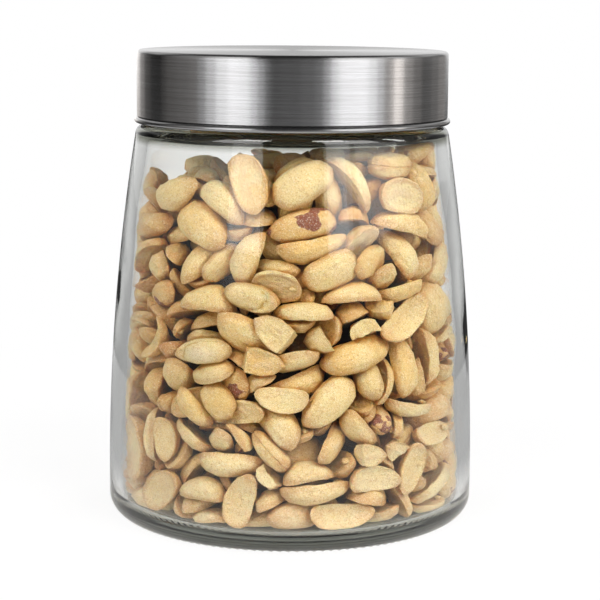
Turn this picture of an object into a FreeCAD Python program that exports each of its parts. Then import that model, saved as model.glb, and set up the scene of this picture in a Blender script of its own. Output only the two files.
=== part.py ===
"""Screw-top glass storage jar filled with blanched peanuts, shut with a brushed steel lid.

Frame: millimetres, +Z up, the origin at the centre of the foot, on the plane that the jar stands on.
Four pieces: the pressed glass jar, the drawn steel lid shell with a rolled hem, the moulded insert
that seals the shell to the neck, and the heap of peanuts inside the jar. The room between the neck
and the insert is where the thread ridges run.
"""

import FreeCAD
import Part
import math
import os
import random

Vec = FreeCAD.Vector

# ---- glass jar -------------------------------------------------------------------------------
belly_radius = 58.95  # widest outer radius of the body
belly_height = 10.0  # height of the widest point
flank_radius = 705.0  # long arc that draws the side in towards the shoulder
wall = 4.2  # glass thickness of the side
heel_radius = 6.2  # outer round between the side and the foot
foot_width = 5.0  # flat bearing ring that the jar stands on
punt_height = 2.0  # how far the underside is pushed up inside the bearing ring
punt_slope = 4.0  # width of the slope from the bearing ring to the pushed-up middle
floor_thickness = 3.2  # glass between the pushed-up underside and the inner floor
floor_crown = 0.8  # rise of the inner floor towards its middle
floor_fillet = 3.5  # inner round between the floor and the side

shoulder_height = 125.3  # top of the outer shoulder
shoulder_radius = 3.0  # outer round of the shoulder
shoulder_thickness = 2.6  # glass between the shoulder's top and the inside
inner_shoulder_radius = 2.0  # inner hollow round where the side turns in under the shoulder
bore_radius = 42.5  # inside of the neck
throat_radius = 2.0  # round between the inner shoulder and the bore
neck_wall = 3.2  # glass thickness of the neck between the thread ridges
neck_root_fillet = 0.8  # hollow round between the shoulder and the neck
neck_height = 21.4  # from the shoulder's top to the rim
rim_round = 1.2  # round of the rim's two edges

# ---- lid -------------------------------------------------------------------------------------
sheet = 0.4  # steel thickness
lid_corner_radius = 1.2  # outer round between the lid's top and its side
hem_gap = 0.65  # from the shoulder's top to the underside of the rolled hem
hem_radius = 0.9  # outer radius of the roll
hem_overhang = 0.85  # how far the roll stands out past the side of the lid
hem_roll = 285.0  # degrees that the edge is rolled through, outwards and up

thread_room = 1.5  # radial room between the neck and the insert, where the thread ridges run
seal_gap = 0.1  # between the rim and the insert's underside
insert_wall = 1.7  # skirt of the insert
insert_top = 1.4  # disc of the insert
insert_gap = 0.1  # press clearance between the insert and the steel
insert_foot_gap = 0.5  # between the insert's lower edge and the rolled hem

# ---- peanuts ---------------------------------------------------------------------------------
headspace = 11.7  # from the inside of the shoulder down to the mean top of the heap
heap_tilt = 8.0  # how much higher the heap lies on the right than on the left
heap_gap = 0.3  # between the heap and the glass
nut_length = 16.5
nut_width = 10.0
nut_thickness = 5.0
nut_lift = 3.4  # how unevenly high the topmost nuts lie
heap_samples = 23  # grid across the top of the heap
heap_seed = 7

# ---- worked out from the above ---------------------------------------------------------------
neck_radius = bore_radius + neck_wall
rim_height = shoulder_height + neck_height
insert_inner_radius = neck_radius + thread_room
insert_outer_radius = insert_inner_radius + insert_wall
insert_ceiling = rim_height + seal_gap
lid_inner_radius = insert_outer_radius + insert_gap
lid_radius = lid_inner_radius + sheet
lid_top = insert_ceiling + insert_top + insert_gap + sheet
hem_height = shoulder_height + hem_gap + hem_radius
hem_centre_radius = lid_radius + hem_overhang - hem_radius
inner_floor = punt_height + floor_thickness
inner_shoulder = shoulder_height - shoulder_thickness
fill_height = inner_shoulder - headspace


# ---- drawing in the half plane: r outwards, z up ----------------------------------------------
def point(r, z):
    return Vec(r, 0, z)


def line(a, b):
    return Part.LineSegment(a, b).toShape()


def round_about(centre, radius, from_degrees, to_degrees):
    """Arc about a centre, its angles counted from outwards (+r) towards up (+z)."""
    angles = [math.radians(from_degrees + (to_degrees - from_degrees) * k / 2) for k in range(3)]
    ends = [centre + point(radius * math.cos(a), radius * math.sin(a)) for a in angles]
    return Part.Arc(*ends).toShape()


def revolved(edges):
    """A solid of revolution. The edges run in order round its half section, and straight lines
    close the steps between one edge's end and the next one's start."""
    outline = []
    for edge, following in zip(edges, edges[1:] + edges[:1]):
        outline.append(edge)
        end = edge.valueAt(edge.LastParameter)
        start = following.valueAt(following.FirstParameter)
        if end.distanceToPoint(start) > 1e-6:
            outline.append(line(end, start))
    section = Part.Face(Part.Wire(outline))
    return section.revolve(Vec(0, 0, 0), Vec(0, 0, 1), 360).Solids[0]


# ---- the jar's side: one long arc, which the inside and the heap follow at their own inset ------
flank_centre = point(belly_radius - flank_radius, belly_height)


def flank(z, inset):
    """Radius of the side at height z, moved in by inset."""
    return flank_centre.x + math.sqrt((flank_radius - inset) ** 2 - (z - belly_height) ** 2)


def corner(level, radius, inset, hangs):
    """Round that joins the moved-in side to a level plane, from inside: below the plane if it
    hangs, otherwise on top of it. Returned as its centre and the angle where it meets the side."""
    z = level - radius if hangs else level + radius
    centre = point(flank(z, inset + radius), z)
    towards = centre - flank_centre
    return centre, math.degrees(math.atan2(towards.z, towards.x))


def side(from_degrees, to_degrees, inset):
    return round_about(flank_centre, flank_radius - inset, from_degrees, to_degrees)


def glass_jar():
    """Pressed glass, one section: foot, heel, side, shoulder, neck and rim, then down the inside."""
    heel, heel_angle = corner(0.0, heel_radius, 0.0, hangs=False)
    shoulder, shoulder_angle = corner(shoulder_height, shoulder_radius, 0.0, hangs=True)
    hollow, hollow_angle = corner(inner_shoulder, inner_shoulder_radius, wall, hangs=True)
    bottom, bottom_angle = corner(inner_floor, floor_fillet, wall, hangs=False)
    neck_root = point(neck_radius + neck_root_fillet, shoulder_height + neck_root_fillet)
    throat = point(bore_radius + throat_radius, inner_shoulder + throat_radius)
    rim_edge = rim_height - rim_round
    ring_inside = heel.x - foot_width
    crown_radius = (bottom.x**2 + floor_crown**2) / (2 * floor_crown)
    crown = point(0, inner_floor + floor_crown - crown_radius)
    crown_angle = math.degrees(math.acos(bottom.x / crown_radius))
    return revolved(
        [
            line(point(0, punt_height), point(ring_inside - punt_slope, punt_height)),
            line(point(ring_inside, 0), point(heel.x, 0)),
            round_about(heel, heel_radius, -90, heel_angle),
            side(heel_angle, shoulder_angle, 0.0),
            round_about(shoulder, shoulder_radius, shoulder_angle, 90),
            round_about(neck_root, neck_root_fillet, -90, -180),
            round_about(point(neck_radius - rim_round, rim_edge), rim_round, 0, 90),
            round_about(point(bore_radius + rim_round, rim_edge), rim_round, 90, 180),
            round_about(throat, throat_radius, 180, 270),
            round_about(hollow, inner_shoulder_radius, 90, hollow_angle),
            side(hollow_angle, bottom_angle, wall),
            round_about(bottom, floor_fillet, bottom_angle, -90),
            round_about(crown, crown_radius, crown_angle, 90),
        ]
    )


def lid_shell():
    """Deep-drawn cap: flat top, straight side, necked in above its edge, which is rolled outwards
    and up until it nearly closes on the neck-in."""
    hem = point(hem_centre_radius, hem_height)
    inside = hem_radius - sheet
    bend = hem.z + hem_radius
    corner_centre = point(lid_radius - lid_corner_radius, lid_top - lid_corner_radius)
    return revolved(
        [
            line(point(0, lid_top), point(corner_centre.x, lid_top)),
            round_about(corner_centre, lid_corner_radius, 90, 0),
            line(point(lid_radius, corner_centre.z), point(lid_radius, bend + sheet)),
            line(point(hem.x - inside, bend), point(hem.x - inside, hem.z)),
            round_about(hem, inside, 180, 180 + hem_roll),
            round_about(hem, hem_radius, 180 + hem_roll, 180),
            line(point(hem.x - hem_radius, hem.z), point(hem.x - hem_radius, bend)),
            line(point(lid_inner_radius, bend + sheet), point(lid_inner_radius, corner_centre.z)),
            round_about(corner_centre, lid_corner_radius - sheet, 0, 90),
            line(point(corner_centre.x, lid_top - sheet), point(0, lid_top - sheet)),
        ]
    )


def lid_insert():
    """Moulded insert: a disc that seals on the rim, and a skirt round the neck inside the shell."""
    top = insert_ceiling + insert_top
    foot = hem_height + hem_radius + sheet + insert_foot_gap
    lead_in = insert_wall / 3
    return revolved(
        [
            line(point(0, top), point(insert_outer_radius - lid_corner_radius, top)),
            line(point(insert_outer_radius, top - lid_corner_radius), point(insert_outer_radius, foot)),
            line(point(insert_inner_radius + lead_in, foot), point(insert_inner_radius, foot + lead_in)),
            line(point(insert_inner_radius, insert_ceiling), point(0, insert_ceiling)),
        ]
    )


def topmost_nuts(reach):
    """The nuts that lie on the heap, as (x, y, turn, lift), strewn in rings out to the glass."""
    chance = random.Random(heap_seed)
    spacing = nut_width
    nuts = []
    for ring in range(int(reach / spacing) + 1):
        around = max(1, round(2 * math.pi * ring))
        for k in range(around):
            bearing = 2 * math.pi * (k + chance.uniform(-0.2, 0.2)) / around
            away = spacing * (ring + chance.uniform(-0.2, 0.2))
            turn = chance.uniform(0, math.pi)
            lift = chance.uniform(0, nut_lift)
            nuts.append((away * math.cos(bearing), away * math.sin(bearing), turn, lift))
    return nuts


def heap_height(x, y, nuts, reach):
    """Height of the heap at (x, y): a slope that rises to the right, with rounded nuts lying on it."""
    above = 0.0
    for nut_x, nut_y, turn, lift in nuts:
        along = (x - nut_x) * math.cos(turn) + (y - nut_y) * math.sin(turn)
        across = (y - nut_y) * math.cos(turn) - (x - nut_x) * math.sin(turn)
        share = (2 * along / nut_length) ** 2 + (2 * across / nut_width) ** 2
        if share < 1:
            above = max(above, (lift + nut_thickness) * (1 - share))
    return fill_height + heap_tilt * x / (2 * reach) + above - nut_thickness


def peanut_heap():
    """The heap as one solid: it fills the inside of the glass up to its uneven top."""
    inset = wall + heap_gap
    fillet = floor_fillet - heap_gap
    floor = inner_floor + floor_crown + heap_gap
    bottom, bottom_angle = corner(floor, fillet, inset, hangs=False)
    hollow, hollow_angle = corner(inner_shoulder, inner_shoulder_radius, inset, hangs=True)
    inside = revolved(
        [
            line(point(0, floor), point(bottom.x, floor)),
            round_about(bottom, fillet, -90, bottom_angle),
            side(bottom_angle, hollow_angle, inset),
            line(point(hollow.x, hollow.z), point(0, hollow.z)),
        ]
    )
    reach = flank(fill_height, inset)
    nuts = topmost_nuts(reach)
    grid = [reach * 1.1 * (2 * k / (heap_samples - 1) - 1) for k in range(heap_samples)]
    top = Part.BSplineSurface()
    top.interpolate([[Vec(x, y, heap_height(x, y, nuts, reach)) for y in grid] for x in grid])
    return inside.common(top.toShape().extrude(Vec(0, 0, -fill_height))).Solids[0]


def main():
    os.makedirs("parts", exist_ok=True)
    for make in (glass_jar, lid_shell, lid_insert, peanut_heap):
        make().exportStep(f"parts/{make.__name__}.step")


main()
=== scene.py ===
"""Looks of a screw-top glass jar of peanuts: clear pressed glass, a brushed steel lid, loose nuts."""

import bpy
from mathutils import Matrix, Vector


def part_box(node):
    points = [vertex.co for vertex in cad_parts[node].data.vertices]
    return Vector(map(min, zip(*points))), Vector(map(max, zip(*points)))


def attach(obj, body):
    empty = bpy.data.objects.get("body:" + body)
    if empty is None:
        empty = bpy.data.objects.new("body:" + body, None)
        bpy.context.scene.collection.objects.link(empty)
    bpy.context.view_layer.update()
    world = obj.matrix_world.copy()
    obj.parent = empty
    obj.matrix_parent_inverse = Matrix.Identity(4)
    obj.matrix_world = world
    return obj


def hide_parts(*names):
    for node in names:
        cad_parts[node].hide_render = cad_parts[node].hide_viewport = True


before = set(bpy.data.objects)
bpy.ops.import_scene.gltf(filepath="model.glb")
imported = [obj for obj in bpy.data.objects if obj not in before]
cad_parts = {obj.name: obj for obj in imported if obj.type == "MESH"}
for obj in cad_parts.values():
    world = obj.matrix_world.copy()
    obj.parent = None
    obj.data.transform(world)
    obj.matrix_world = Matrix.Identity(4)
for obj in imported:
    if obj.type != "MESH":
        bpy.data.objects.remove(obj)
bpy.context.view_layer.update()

import math
import random

import bpy
import numpy as np
from bpy.props import FloatProperty, FloatVectorProperty, IntProperty, PointerProperty
from mathutils import Euler, Matrix, Vector
from mathutils.bvhtree import BVHTree

bl_info = {
    "name": "Peanut Jar",
    "version": (1, 0, 0),
    "blender": (4, 5, 0),
    "location": "3D View > Sidebar > Peanut Jar",
    "description": "Models a screw-top glass jar with a brushed steel lid and fills it with peanuts",
    "category": "Object",
}

MM = 0.001
FULL_TURN = 2 * math.pi
NOT_FOR_LID = "softbox_receivers"  # what the softboxes light: all but the lid
FOR_LID = "strip_receivers"  # what the lid's own strips light


def length(name, millimetres, description):
    """A size in metres whose default is given in millimetres."""
    return FloatProperty(
        name=name,
        description=description,
        default=millimetres * MM,
        unit="LENGTH",
        subtype="DISTANCE",
        precision=5,
    )


def colour(name, default, description):
    return FloatVectorProperty(
        name=name, description=description, default=default, size=3, subtype="COLOR", min=0, max=1
    )


class JarSizes(bpy.types.PropertyGroup):
    """Sizes of the glass, the lid and the nuts that the frame's boxes don't give."""

    belly_height: length("Belly height", 10.0, "Height of the widest point of the body")
    flank_radius: length("Flank radius", 705.0, "Long arc that draws the side in towards the shoulder")
    wall: length("Wall", 4.2, "Glass thickness of the side")
    heel_radius: length("Heel radius", 6.2, "Outer round between the side and the foot")
    foot_width: length("Foot width", 5.0, "Width of the bearing ring")
    punt_height: length("Punt height", 2.0, "How far the underside is pushed up")
    punt_slope: length("Punt slope", 4.0, "Width of the slope up to the pushed-up middle")
    floor_thickness: length("Floor thickness", 3.2, "Glass under the inner floor")
    floor_crown: length("Floor crown", 0.8, "Rise of the inner floor towards its middle")
    floor_fillet: length("Floor fillet", 3.5, "Inner round between the floor and the side")
    neck_height: length("Neck height", 21.4, "From the shoulder's top to the rim")
    shoulder_radius: length("Shoulder radius", 3.0, "Outer round of the shoulder")
    shoulder_thickness: length("Shoulder thickness", 2.6, "Glass under the shoulder's top")
    hollow_radius: length("Hollow radius", 2.0, "Inner hollow round under the shoulder")
    bore_radius: length("Bore radius", 42.5, "Inside of the neck")
    throat_radius: length("Throat radius", 2.0, "Round between the inner shoulder and the bore")
    neck_wall: length("Neck wall", 3.2, "Glass thickness of the neck")
    root_radius: length("Root radius", 0.8, "Hollow round at the foot of the neck")
    rim_round: length("Rim round", 1.2, "Round of the rim's two edges")
    thread_depth: length("Thread depth", 1.1, "How far the thread ridge stands out of the neck")
    thread_pitch: length("Thread pitch", 6.0, "Rise of the thread ridge in one turn")
    sheet: length("Sheet", 0.4, "Steel thickness of the lid")
    lid_corner: length("Lid corner", 1.2, "Outer round between the lid's top and side")
    lid_radius: length("Lid radius", 49.4, "Outer radius of the lid's side")
    hem_radius: length("Hem radius", 0.9, "Outer radius of the rolled hem")
    fill_height: length("Fill height", 111.0, "Mean height of the heap's top")
    heap_tilt: length("Heap tilt", 12.0, "How much higher the heap lies on the right")
    heap_hump: length("Heap hump", 3.0, "How much higher the heap lies midway between left and right")
    top_trim: length("Top trim", 0.5, "How far the topmost nuts' centres stay under the top")
    nut_gap: length("Nut gap", 0.2, "Between the nuts and the glass")
    core_radius: length("Core radius", 35.0, "Body behind the outermost nuts")
    core_height: length("Core height", 93.0, "Top of that body")
    nut_count: IntProperty(name="Nuts", description="How many are dropped into the jar", default=960)
    seed: IntProperty(name="Seed", description="Which chance order the nuts fall in", default=5)


class JarColours(bpy.types.PropertyGroup):
    """Colours of the glass, the lid and the nuts, as linear values."""

    steel: colour("Steel", (0.68, 0.675, 0.675), "Brushed stainless steel")
    glass_tint: colour("Glass tint", (0.44, 0.46, 0.41), "What thick glass lets through")
    insert: colour("Insert", (0.55, 0.55, 0.53), "Moulded insert of the lid")
    floor: colour("Floor", (0.86, 0.86, 0.86), "Pale table")


# ---- shader expressions -------------------------------------------------------------------------
class Value:
    """A shader socket that takes part in Python expressions."""

    def __init__(self, finish, socket):
        self.finish = finish
        self.socket = socket

    def maths(self, operation, other=None, swapped=False):
        values = [other, self] if swapped else [self, other]
        inputs = {k: v for k, v in enumerate(values) if v is not None}
        return self.finish.node("ShaderNodeMath", {"operation": operation}, inputs)

    def highest(self, other):
        return self.maths("MAXIMUM", other)

    def __add__(self, other):
        return self.maths("ADD", other)

    def __sub__(self, other):
        return self.maths("SUBTRACT", other)

    def __rsub__(self, other):
        return self.maths("SUBTRACT", other, swapped=True)

    def __mul__(self, other):
        return self.maths("MULTIPLY", other)

    def __truediv__(self, other):
        return self.maths("DIVIDE", other)

    def __pow__(self, other):
        return self.maths("POWER", other)

    __radd__ = __add__
    __rmul__ = __mul__

    def clipped(self, low, high):
        """0 at low, 1 at high, smooth between them."""
        settings = {"interpolation_type": "SMOOTHSTEP"}
        return self.finish.node("ShaderNodeMapRange", settings, {0: self, 1: low, 2: high})


class Finish:
    """A material and the nodes that it is written with."""

    def __init__(self, name):
        self.material = bpy.data.materials.new(name)
        self.material.use_nodes = True
        self.tree = self.material.node_tree
        self.tree.nodes.clear()
        self.output = self.tree.nodes.new("ShaderNodeOutputMaterial")

    @classmethod
    def around(cls, world):
        """The same for a world's surroundings."""
        room = cls.__new__(cls)
        room.tree = world.node_tree
        room.tree.nodes.clear()
        room.output = room.tree.nodes.new("ShaderNodeOutputWorld")
        return room

    def node(self, kind, settings=None, inputs=None, output=0):
        made = self.tree.nodes.new(kind)
        for name, value in (settings or {}).items():
            if name == "stops":
                self.set_stops(made.color_ramp, value)
            else:
                setattr(made, name, value)
        for key, value in (inputs or {}).items():
            self.feed(made.inputs[key], value)
        return Value(self, made.outputs[output])

    def feed(self, socket, value):
        if isinstance(value, Value):
            self.tree.links.new(value.socket, socket)
        elif socket.type == "RGBA" and len(value) == 3:
            socket.default_value = (*value, 1.0)
        else:
            socket.default_value = value

    def set_stops(self, ramp, stops):
        while len(ramp.elements) < len(stops):
            ramp.elements.new(1.0)
        for element, (place, shade) in zip(ramp.elements, stops):
            element.position = place
            element.color = (*shade, 1.0)

    def place(self):
        return self.node("ShaderNodeTexCoord", output="Object")

    def attribute(self, name, output="Fac"):
        return self.node("ShaderNodeAttribute", {"attribute_name": name}, output=output)

    def split(self, vector):
        """The three parts of a vector."""
        parts = self.node("ShaderNodeSeparateXYZ", {}, {0: vector}).socket.node.outputs
        return [Value(self, parts[axis]) for axis in "XYZ"]

    def joined(self, x, y, z):
        return self.node("ShaderNodeCombineXYZ", {}, {0: x, 1: y, 2: z})

    def rays(self, *kinds):
        """For each kind of ray, whether the place is being looked at by one."""
        paths = self.node("ShaderNodeLightPath").socket.node.outputs
        return [Value(self, paths[f"Is {kind} Ray"]) for kind in kinds]

    def noise(self, place, scale, detail=2.0, roughness=0.5):
        inputs = {"Vector": place, "Scale": scale, "Detail": detail, "Roughness": roughness}
        return self.node("ShaderNodeTexNoise", {}, inputs)

    def ramp(self, value, *stops):
        return self.node("ShaderNodeValToRGB", {"stops": stops}, {0: value}, "Color")

    def greys(self, value, stops):
        """A ramp of greys from (place, brightness) pairs."""
        return self.ramp(value, *[(place, (level,) * 3) for place, level in stops])

    def blend(self, share, first, second, how="MIX"):
        settings = {"data_type": "RGBA", "blend_type": how}
        return self.node("ShaderNodeMix", settings, {0: share, 6: first, 7: second}, 2)

    def relief(self, height, distance, strength):
        inputs = {"Height": height, "Distance": distance, "Strength": strength}
        return self.node("ShaderNodeBump", {}, inputs)

    def mixed(self, share, first, second):
        return self.node("ShaderNodeMixShader", {}, {0: share, 1: first, 2: second})

    def principled(self, **inputs):
        named = {key.replace("_", " "): value for key, value in inputs.items()}
        return self.node("ShaderNodeBsdfPrincipled", {}, named)

    def done(self, surface, volume=None):
        self.feed(self.output.inputs["Surface"], surface)
        if volume is not None:
            self.feed(self.output.inputs["Volume"], volume)
        return self.material


# ---- modelling by hand --------------------------------------------------------------------------
def deselect_all():
    if bpy.context.object and bpy.context.object.mode != "OBJECT":
        bpy.ops.object.mode_set(mode="OBJECT")
    bpy.ops.object.select_all(action="DESELECT")


def pick(piece):
    deselect_all()
    piece.select_set(True)
    bpy.context.view_layer.objects.active = piece


def edit(piece):
    """Edit mode on that piece alone, with all of it selected."""
    pick(piece)
    bpy.ops.object.mode_set(mode="EDIT")
    bpy.ops.mesh.select_mode(type="VERT")
    bpy.ops.mesh.select_all(action="SELECT")


def settle_place(piece):
    """Moves the piece's place, turn and size into its mesh."""
    pick(piece)
    bpy.ops.object.transform_apply(location=True, rotation=True, scale=True)


def give(target, settings):
    for name, value in settings.items():
        setattr(target, name, value)


def modify(piece, kind, **settings):
    """Adds a modifier of that kind, sets it and applies it."""
    modifier = piece.modifiers.new(kind.title(), kind)
    give(modifier, settings)
    pick(piece)
    bpy.ops.object.modifier_apply(modifier=modifier.name)


def weigh(piece, name, weight_at):
    """A vertex group whose weights are worked out from each point's place."""
    group = piece.vertex_groups.new(name=name)
    for vertex in piece.data.vertices:
        weight = weight_at(vertex.co)
        if weight > 0:
            group.add([vertex.index], min(1.0, weight), "REPLACE")
    return group.name


def lumps(name, size):
    """A cloudy height pattern for modifiers."""
    pattern = bpy.data.textures.new(name, "CLOUDS")
    pattern.noise_scale = size
    pattern.noise_depth = 1
    return pattern


class Outline:
    """A half section, drawn by extruding a point along lines and spinning it round arcs in the XZ
    plane, and then spun round the jar's axis."""

    def __init__(self, name, r, z):
        deselect_all()
        bpy.ops.mesh.primitive_plane_add(size=MM, location=(r, 0, z))
        self.piece = bpy.context.object
        self.piece.name = name
        settle_place(self.piece)
        edit(self.piece)
        bpy.ops.mesh.merge(type="CENTER")
        self.r = r
        self.z = z

    def to(self, r, z, steps=1):
        """A straight stretch to (r, z) in equal steps."""
        step = ((r - self.r) / steps, 0, (z - self.z) / steps)
        for _ in range(steps):
            bpy.ops.mesh.extrude_region_move(TRANSFORM_OT_translate={"value": step})
        self.r = r
        self.z = z

    def round(self, centre_r, centre_z, degrees, steps):
        """An arc about a centre; positive degrees turn from up towards outwards."""
        angle = math.radians(degrees)
        bpy.ops.mesh.spin(steps=steps, angle=-angle, center=(centre_r, 0, centre_z), axis=(0, 1, 0))
        r = self.r - centre_r
        z = self.z - centre_z
        self.r = centre_r + r * math.cos(angle) + z * math.sin(angle)
        self.z = centre_z - r * math.sin(angle) + z * math.cos(angle)

    def spun(self, segments):
        """Closes the section, turns it round the axis and gives the piece."""
        bpy.ops.mesh.select_all(action="SELECT")
        bpy.ops.mesh.spin(steps=segments, angle=FULL_TURN, center=(0, 0, 0), axis=(0, 0, 1))
        bpy.ops.mesh.select_all(action="SELECT")
        bpy.ops.mesh.remove_doubles(threshold=MM / 100)
        bpy.ops.mesh.normals_make_consistent(inside=False)
        deselect_all()
        return self.piece


def wear(piece, material):
    piece.data.materials.clear()
    piece.data.materials.append(material)


def finish_piece(piece, material, replaced):
    """Gives the piece its material, hangs it under the root body and hides the CAD part that it replaces."""
    wear(piece, material)
    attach(piece, "root")
    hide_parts(replaced)


def smooth(piece, degrees=35):
    """Smooth shading, except over edges that bend more than that."""
    pick(piece)
    bpy.ops.object.shade_smooth_by_angle(angle=math.radians(degrees))


# ---- glass --------------------------------------------------------------------------------------
GLASS_SEGMENTS = 264  # two for each notch of the foot
GLASS_IOR = 1.51
GLASS_DENSITY = 22.0
GLASS_TINT_AND_SHADE_REACH = 150 * MM
# Glass colour by height: its tint, with painted shade in the dark bands at the base and in the shoulder
GLASS_TINT_AND_SHADE = (  # by height, as a share of that reach
    (0.0, (0.19, 0.197, 0.175)),
    (0.025, (0.30, 0.306, 0.275)),
    (0.04, (0.8, 0.8, 0.78)),
    (0.055, (0.98, 0.985, 0.98)),
    (0.797, (0.98, 0.985, 0.98)),
    (0.811, (0.34, 0.347, 0.30)),
    (1.0, (0.5, 0.51, 0.45)),
)
NOTCH_DEPTH = 0.45 * MM
NOTCH_TOP = 1.2 * MM
WAVE_LENGTH = 20 * MM
WAVE_HEIGHT = 0.3 * MM


class Flank:
    """The side of the jar: one long arc in the half plane, which the inside follows at the wall."""

    def __init__(self, sizes):
        self.radius = sizes.flank_radius
        self.z = sizes.belly_height
        self.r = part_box("glass_jar")[1].x - self.radius

    def reach(self, z, inset):
        return self.r + math.sqrt((self.radius - inset) ** 2 - (z - self.z) ** 2)

    def corner(self, level, radius, inset, hangs):
        """Centre of the round between the moved-in side and a level plane, and the angle in degrees
        above the horizontal at which it meets the side."""
        z = level - radius if hangs else level + radius
        r = self.reach(z, inset + radius)
        return r, z, math.degrees(math.atan2(z - self.z, r - self.r))


def glass_finish(colours):
    """Soda glass, darker at the base and in the shoulder, where it is seen through a long way: partly its
    tint and partly painted shade.
    """
    finish = Finish("clear_glass")
    # painted shade: the base colour darkens the glass at the base and in the shoulder
    depth = finish.ramp(finish.split(finish.place())[2] / GLASS_TINT_AND_SHADE_REACH, *GLASS_TINT_AND_SHADE)
    glass = finish.principled(Base_Color=depth, Roughness=0.0, IOR=GLASS_IOR, Transmission_Weight=1.0)
    through = finish.node("ShaderNodeBsdfTransparent", {}, {"Color": (0.97, 0.97, 0.96)})
    shadow, scattered = finish.rays("Shadow", "Diffuse")
    inputs = {"Color": colours.glass_tint, "Density": GLASS_DENSITY}
    volume = finish.node("ShaderNodeVolumeAbsorption", {}, inputs)
    return finish.done(finish.mixed(shadow.highest(scattered), glass, through), volume)


class PEANUTJAR_OT_glass(bpy.types.Operator):
    """Models the pressed glass jar: foot, side, shoulder, threaded neck and the wavy inside"""

    bl_idname = "peanut_jar.glass"
    bl_label = "Glass"

    def execute(self, context):
        sizes = context.scene.jar_sizes
        flank = Flank(sizes)
        foot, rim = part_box("glass_jar")
        rim_height = rim.z
        shoulder_height = rim_height - sizes.neck_height
        inner_floor = sizes.punt_height + sizes.floor_thickness
        inner_shoulder = shoulder_height - sizes.shoulder_thickness
        heel_r, heel_z, heel_angle = flank.corner(0.0, sizes.heel_radius, 0.0, False)
        top_r, top_z, top_angle = flank.corner(shoulder_height, sizes.shoulder_radius, 0.0, True)
        hollow_r, hollow_z, hollow_angle = flank.corner(
            inner_shoulder, sizes.hollow_radius, sizes.wall, True
        )
        bottom_r, bottom_z, bottom_angle = flank.corner(
            inner_floor, sizes.floor_fillet, sizes.wall, False
        )
        neck_radius = sizes.bore_radius + sizes.neck_wall
        foot_inside = heel_r - sizes.foot_width
        rim_edge = rim_height - sizes.rim_round

        outline = Outline("glass_body", 0.0, sizes.punt_height)
        outline.to(foot_inside - sizes.punt_slope, sizes.punt_height, 8)
        outline.to(foot_inside, 0.0, 3)
        outline.to(heel_r, 0.0, 6)
        outline.round(heel_r, heel_z, -90 - heel_angle, 10)
        outline.round(flank.r, flank.z, heel_angle - top_angle, 44)
        outline.round(top_r, top_z, top_angle - 90, 8)
        outline.to(neck_radius + sizes.root_radius, shoulder_height, 2)
        outline.round(outline.r, shoulder_height + sizes.root_radius, 90, 3)
        outline.to(neck_radius, rim_edge, 26)
        outline.round(neck_radius - sizes.rim_round, rim_edge, -90, 5)
        outline.to(sizes.bore_radius + sizes.rim_round, rim_height)
        outline.round(outline.r, rim_edge, -90, 5)
        outline.to(sizes.bore_radius, inner_shoulder + sizes.throat_radius, 14)
        outline.round(sizes.bore_radius + sizes.throat_radius, outline.z, -90, 6)
        outline.to(hollow_r, inner_shoulder)
        outline.round(hollow_r, hollow_z, 90 - hollow_angle, 6)
        outline.round(flank.r, flank.z, hollow_angle - bottom_angle, 44)
        outline.round(bottom_r, bottom_z, bottom_angle + 90, 8)
        crown_radius = (bottom_r**2 + sizes.floor_crown**2) / (2 * sizes.floor_crown)
        crown_angle = math.degrees(math.asin(bottom_r / crown_radius))
        outline.round(0.0, inner_floor + sizes.floor_crown - crown_radius, -crown_angle, 12)
        jar = outline.spun(GLASS_SEGMENTS)
        self.wave_inside(jar, flank, sizes)
        self.raise_thread(jar, neck_radius, shoulder_height, rim_height, sizes)
        self.notch_foot(jar, foot_inside, heel_r)
        smooth(jar)
        finish_piece(jar, glass_finish(context.scene.jar_colours), "glass_jar")
        return {"FINISHED"}

    def wave_inside(self, jar, flank, sizes):
        """The blown inside is a little wavy; it is what bends the sight of the nuts."""
        low = sizes.punt_height + sizes.floor_thickness + 2 * MM
        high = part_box("glass_jar")[1].z - sizes.neck_height - MM

        def depth_at(place):
            if not low < place.z < high:
                return 0.0
            reach = math.hypot(place.x, place.y)
            return 1.0 if reach < flank.reach(place.z, sizes.wall * 0.7) else 0.0

        inside = weigh(jar, "inside", depth_at)
        waves = lumps("glass_waves", WAVE_LENGTH)
        modify(jar, "DISPLACE", vertex_group=inside, texture=waves, strength=WAVE_HEIGHT, mid_level=0.5)

    def raise_thread(self, jar, neck_radius, shoulder_height, rim_height, sizes):
        """One ridge that climbs round the neck and fades out at both ends."""
        low = shoulder_height + 5 * MM
        high = rim_height - 4 * MM
        half_width = 1.5 * MM

        def height_at(place):
            reach = math.hypot(place.x, place.y)
            if reach < neck_radius - 0.1 * MM or not low < place.z < high:
                return 0.0
            climb = math.atan2(place.y, place.x) / FULL_TURN * sizes.thread_pitch
            off = (place.z - low - climb) % sizes.thread_pitch - sizes.thread_pitch / 2
            ridge = max(0.0, 1 - (off / half_width) ** 2)
            return ridge * min(1.0, (place.z - low) / MM, (high - place.z) / MM)

        ridge = weigh(jar, "thread", height_at)
        modify(jar, "DISPLACE", vertex_group=ridge, strength=sizes.thread_depth, mid_level=0)

    def notch_foot(self, jar, foot_inside, foot_outside):
        """The stipple of small notches that the mould leaves round the bearing ring."""
        def depth_at(place):
            reach = math.hypot(place.x, place.y)
            if place.z > NOTCH_TOP or not foot_inside + MM < reach < foot_outside + 3.5 * MM:
                return 0.0
            step = round(math.atan2(place.y, place.x) / FULL_TURN * GLASS_SEGMENTS)
            return float(step % 2)

        notches = weigh(jar, "notches", depth_at)
        modify(jar, "DISPLACE", vertex_group=notches, strength=-NOTCH_DEPTH, mid_level=0)


# ---- lid ----------------------------------------------------------------------------------------
STEEL_IN_LINES = (0.55, 0.54, 0.535)
STEEL_IN_STREAKS = (0.40, 0.39, 0.38)
# painted shade: a darker colour that dulls the reflection in the rolled hem
HEM_PAINTED_SHADE = (0.20, 0.20, 0.20)


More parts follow.
